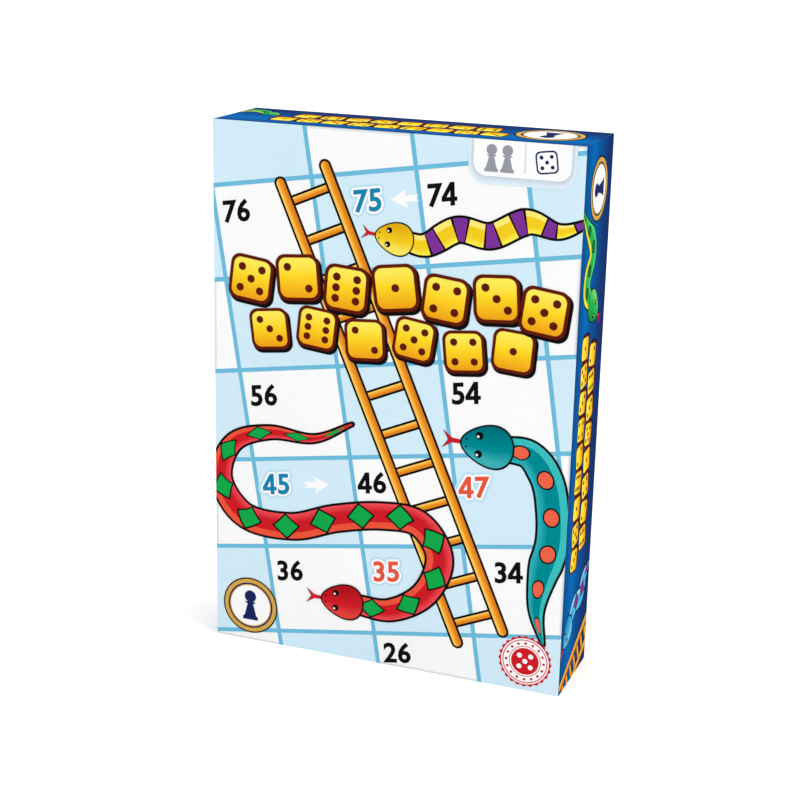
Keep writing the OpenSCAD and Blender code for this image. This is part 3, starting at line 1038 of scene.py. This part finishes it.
def hinge_cloth():
    """Book cloth with an uneven weave."""
    s = Shader("hinge_book_cloth")
    x, y, z = s.axes(s.place())
    wave = math.pi / (0.6 * MM)
    weave = s.times(s.math("SINE", s.times(s.plus(x, y), wave)), s.math("SINE", s.times(z, wave)))
    thread = s.plus(weave, s.times(s.noise(1500, rough=0.7), 0.8))
    colour = s.mix(s.step(weave, -1, 1), (14, 22, 60), (34, 48, 104))
    normal = s.bump(thread, strength=0.5, distance=0.08 * MM)
    return s.set(colour=colour, rough=0.85, normal=normal, specular=0.3, sheen=0.2)


def rules_paper():
    """Uncoated paper with a crease across its middle, greyed along it as painted shade."""
    s = Shader("rules_uncoated_paper")
    _, _, z = s.axes(s.place())
    from_crease = s.math("ABSOLUTE", s.minus(z, centre(RULES_Z) * MM))
    crease_and_shade = s.minus(1, s.step(from_crease, 0, 1.2 * MM))
    colour = clouded(s, (247, 246, 241), (238, 237, 231), scale=50, detail=4, rough=0.6)
    # Painted shade: the paper greys along the crease; the crease's bump below is real relief
    colour = s.mix(s.times(crease_and_shade, 0.35), colour, (206, 206, 202))
    height = s.plus(s.noise(1200, detail=5, rough=0.7), s.times(crease_and_shade, 2))
    normal = s.bump(height, strength=0.3, distance=0.05 * MM)
    return s.set(colour=colour, rough=0.75, normal=normal, specular=0.3)


def moulded(name, light, dark):
    """Glossy moulded plastic with flow marks, haze and scratches."""
    s = Shader(name)
    flow = s.noise(120, rough=0.5, stretch=(1, 1, 0.4))
    haze = s.step(s.noise(260, detail=4, rough=0.7), 0.4, 0.75)
    scratch = s.step(s.noise(2200, detail=2, rough=0.9, stretch=(1, 1, 0.12)), 0.66, 0.7)
    colour = s.mix(s.step(flow, 0.3, 0.7), light, dark)
    rough = s.uneven(haze, least=s.uneven(scratch, least=0.2, spread=0.2), spread=0.16)
    relief = s.plus(flow, s.times(scratch, 0.3))
    normal = s.bump(relief, strength=0.12, distance=0.1 * MM, normal=s.rounded(0.3 * MM))
    return s.set(colour=colour, rough=rough, normal=normal, specular=0.5, subsurface=0.04)


def pip_paint():
    """Matt black paint, a little uneven."""
    s = Shader("pip_paint")
    colour = s.mix(s.noise(900, rough=0.6), (14, 14, 16), (34, 34, 38))
    grain = s.noise(2500, rough=0.6)
    return s.set(colour=colour, rough=0.5, normal=s.bump(grain, strength=0.3, distance=0.04 * MM))


def dress_solids():
    """Puts a material on every slot of every solid."""
    finishes = {
        "lid_wrap": lid_print(), "tray_wrap": tray_paper(),
        "lid_greyboard": greyboard("lid_greyboard", (160, 153, 142), (146, 139, 128)),
        "insert_card": white_card(), "lid_corner_stays": stay_tape(),
        "right_leaf_core": greyboard("leaf_greyboard", (140, 134, 126), (124, 118, 110), fibrous=False),
        "right_leaf_paper": linen_paper(), "right_leaf_face": board_print("right_board_paper"),
        "left_leaf_face": board_print("left_board_paper"), "spine_cloth": hinge_cloth(),
        "rules_sheet": rules_paper(),
        "pawn_red": moulded("red_plastic", (214, 24, 30), (190, 14, 22)),
        "pawn_blue": moulded("blue_plastic", (22, 88, 204), (14, 70, 180)),
        "pawn_green": moulded("green_plastic", (20, 150, 66), (12, 128, 52)),
        "pawn_yellow": moulded("yellow_plastic", (250, 206, 30), (236, 186, 18)),
        "die": moulded("ivory_plastic", (247, 241, 222), (243, 236, 213)), "die_pips": pip_paint(),
    }
    like = {"tray_greyboard": "lid_greyboard", "tray_corner_stays": "lid_corner_stays",
            "left_leaf_core": "right_leaf_core", "left_leaf_paper": "right_leaf_paper",
            "right_leaf_cloth": "spine_cloth", "left_leaf_cloth": "spine_cloth"}
    for name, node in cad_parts.items():
        for holder in node.material_slots:
            holder.material = finishes[like.get(name, name)]


# Stage, in metres and watts
FLOOR_HALF = 6
FLOOR_COLOUR = (243.445, 243.445, 243.445)
PART_MIDDLE = (0, 0, 0.13)
# Name, place, target, width and height, and power of each lamp
LAMPS = (
    ("key", (-0.7, -1.3, 1.1), PART_MIDDLE, (0.9, 0.9), 6.4),
    ("fill", (1.4, -0.4, 0.7), PART_MIDDLE, (0.8, 1.0), 5.95),
    ("overhead", (0, 0.2, 1.5), PART_MIDDLE, (1.2, 1.2), 1.4),
    ("back", (0.3, 0.1, 1.2), (0, 0.75, 0.13), (0.9, 0.9), 4.4),
)
CAMERA_PLACE = (0.2815, -0.7561, 0.3754)
CAMERA_FORWARD = (-0.3366, 0.8963, -0.2888)
CAMERA_UP = (-0.1227, 0.2623, 0.9572)
LENS, SENSOR_WIDTH = 76.8, 36


def seen_ray(nodes):
    """1 on rays of the camera, metal and glass, and 0 on light for the part."""
    path = nodes.node("LightPath").outputs
    seen = nodes.math("MAXIMUM", path["Is Camera Ray"], path["Is Glossy Ray"])
    return nodes.math("MAXIMUM", seen, path["Is Transmission Ray"])


def make_floor():
    """White floor, which looks whiter than its light makes it."""
    mesh = bpy.data.meshes.new("floor")
    corners = [(x * FLOOR_HALF, y * FLOOR_HALF, 0) for x, y in ((-1, -1), (1, -1), (1, 1), (-1, 1))]
    mesh.from_pydata(corners, [], [(0, 1, 2, 3)])
    s = Shader("floor_white")
    away = s.node("VectorMath", {0: s.place()}, operation="LENGTH").outputs["Value"]
    glow = s.uneven(s.step(away, 0.25, 1.2), least=0.3, spread=0.3)
    mesh.materials.append(s.set(colour=FLOOR_COLOUR, rough=0.9, specular=0.1, glow_colour=(255, 255, 255),
                                glow=s.times(glow, seen_ray(s))))
    put_in_scene("floor", mesh)


def make_world():
    """World that looks white and lights the part plainly."""
    world = bpy.data.worlds.new("studio")
    bpy.context.scene.world = world
    world.use_nodes = True
    world.node_tree.nodes.clear()
    nodes = Nodes(world.node_tree)
    strength = nodes.uneven(seen_ray(nodes), least=0.63, spread=0.37)
    background = nodes.node("Background", {"Color": (1, 1, 1, 1), "Strength": strength})
    nodes.node("OutputWorld", {"Surface": background.outputs[0]})


def make_lamps():
    for name, place, target, (wide, tall), power in LAMPS:
        light = bpy.data.lights.new(name, "AREA")
        light.shape = "RECTANGLE"
        light.size = wide
        light.size_y = tall
        light.energy = power
        lamp = put_in_scene(name, light)
        lamp.location = place
        lamp.rotation_mode = "QUATERNION"
        lamp.rotation_quaternion = (Vector(target) - Vector(place)).to_track_quat("-Z", "Y")


def make_camera():
    """Camera solved from the seven visible corners of the box."""
    data = bpy.data.cameras.new("camera")
    data.sensor_width = SENSOR_WIDTH
    data.lens = LENS
    forward = Vector(CAMERA_FORWARD).normalized()
    right = forward.cross(Vector(CAMERA_UP)).normalized()
    turn = Matrix((right, right.cross(forward), -forward)).transposed().to_4x4()
    camera = put_in_scene("camera", data)
    camera.matrix_world = Matrix.Translation(CAMERA_PLACE) @ turn
    bpy.context.scene.camera = camera


make_camera()
make_floor()
make_world()
make_lamps()
dress_solids()
print_pages()
bpy.context.scene.view_settings.view_transform = "Standard"
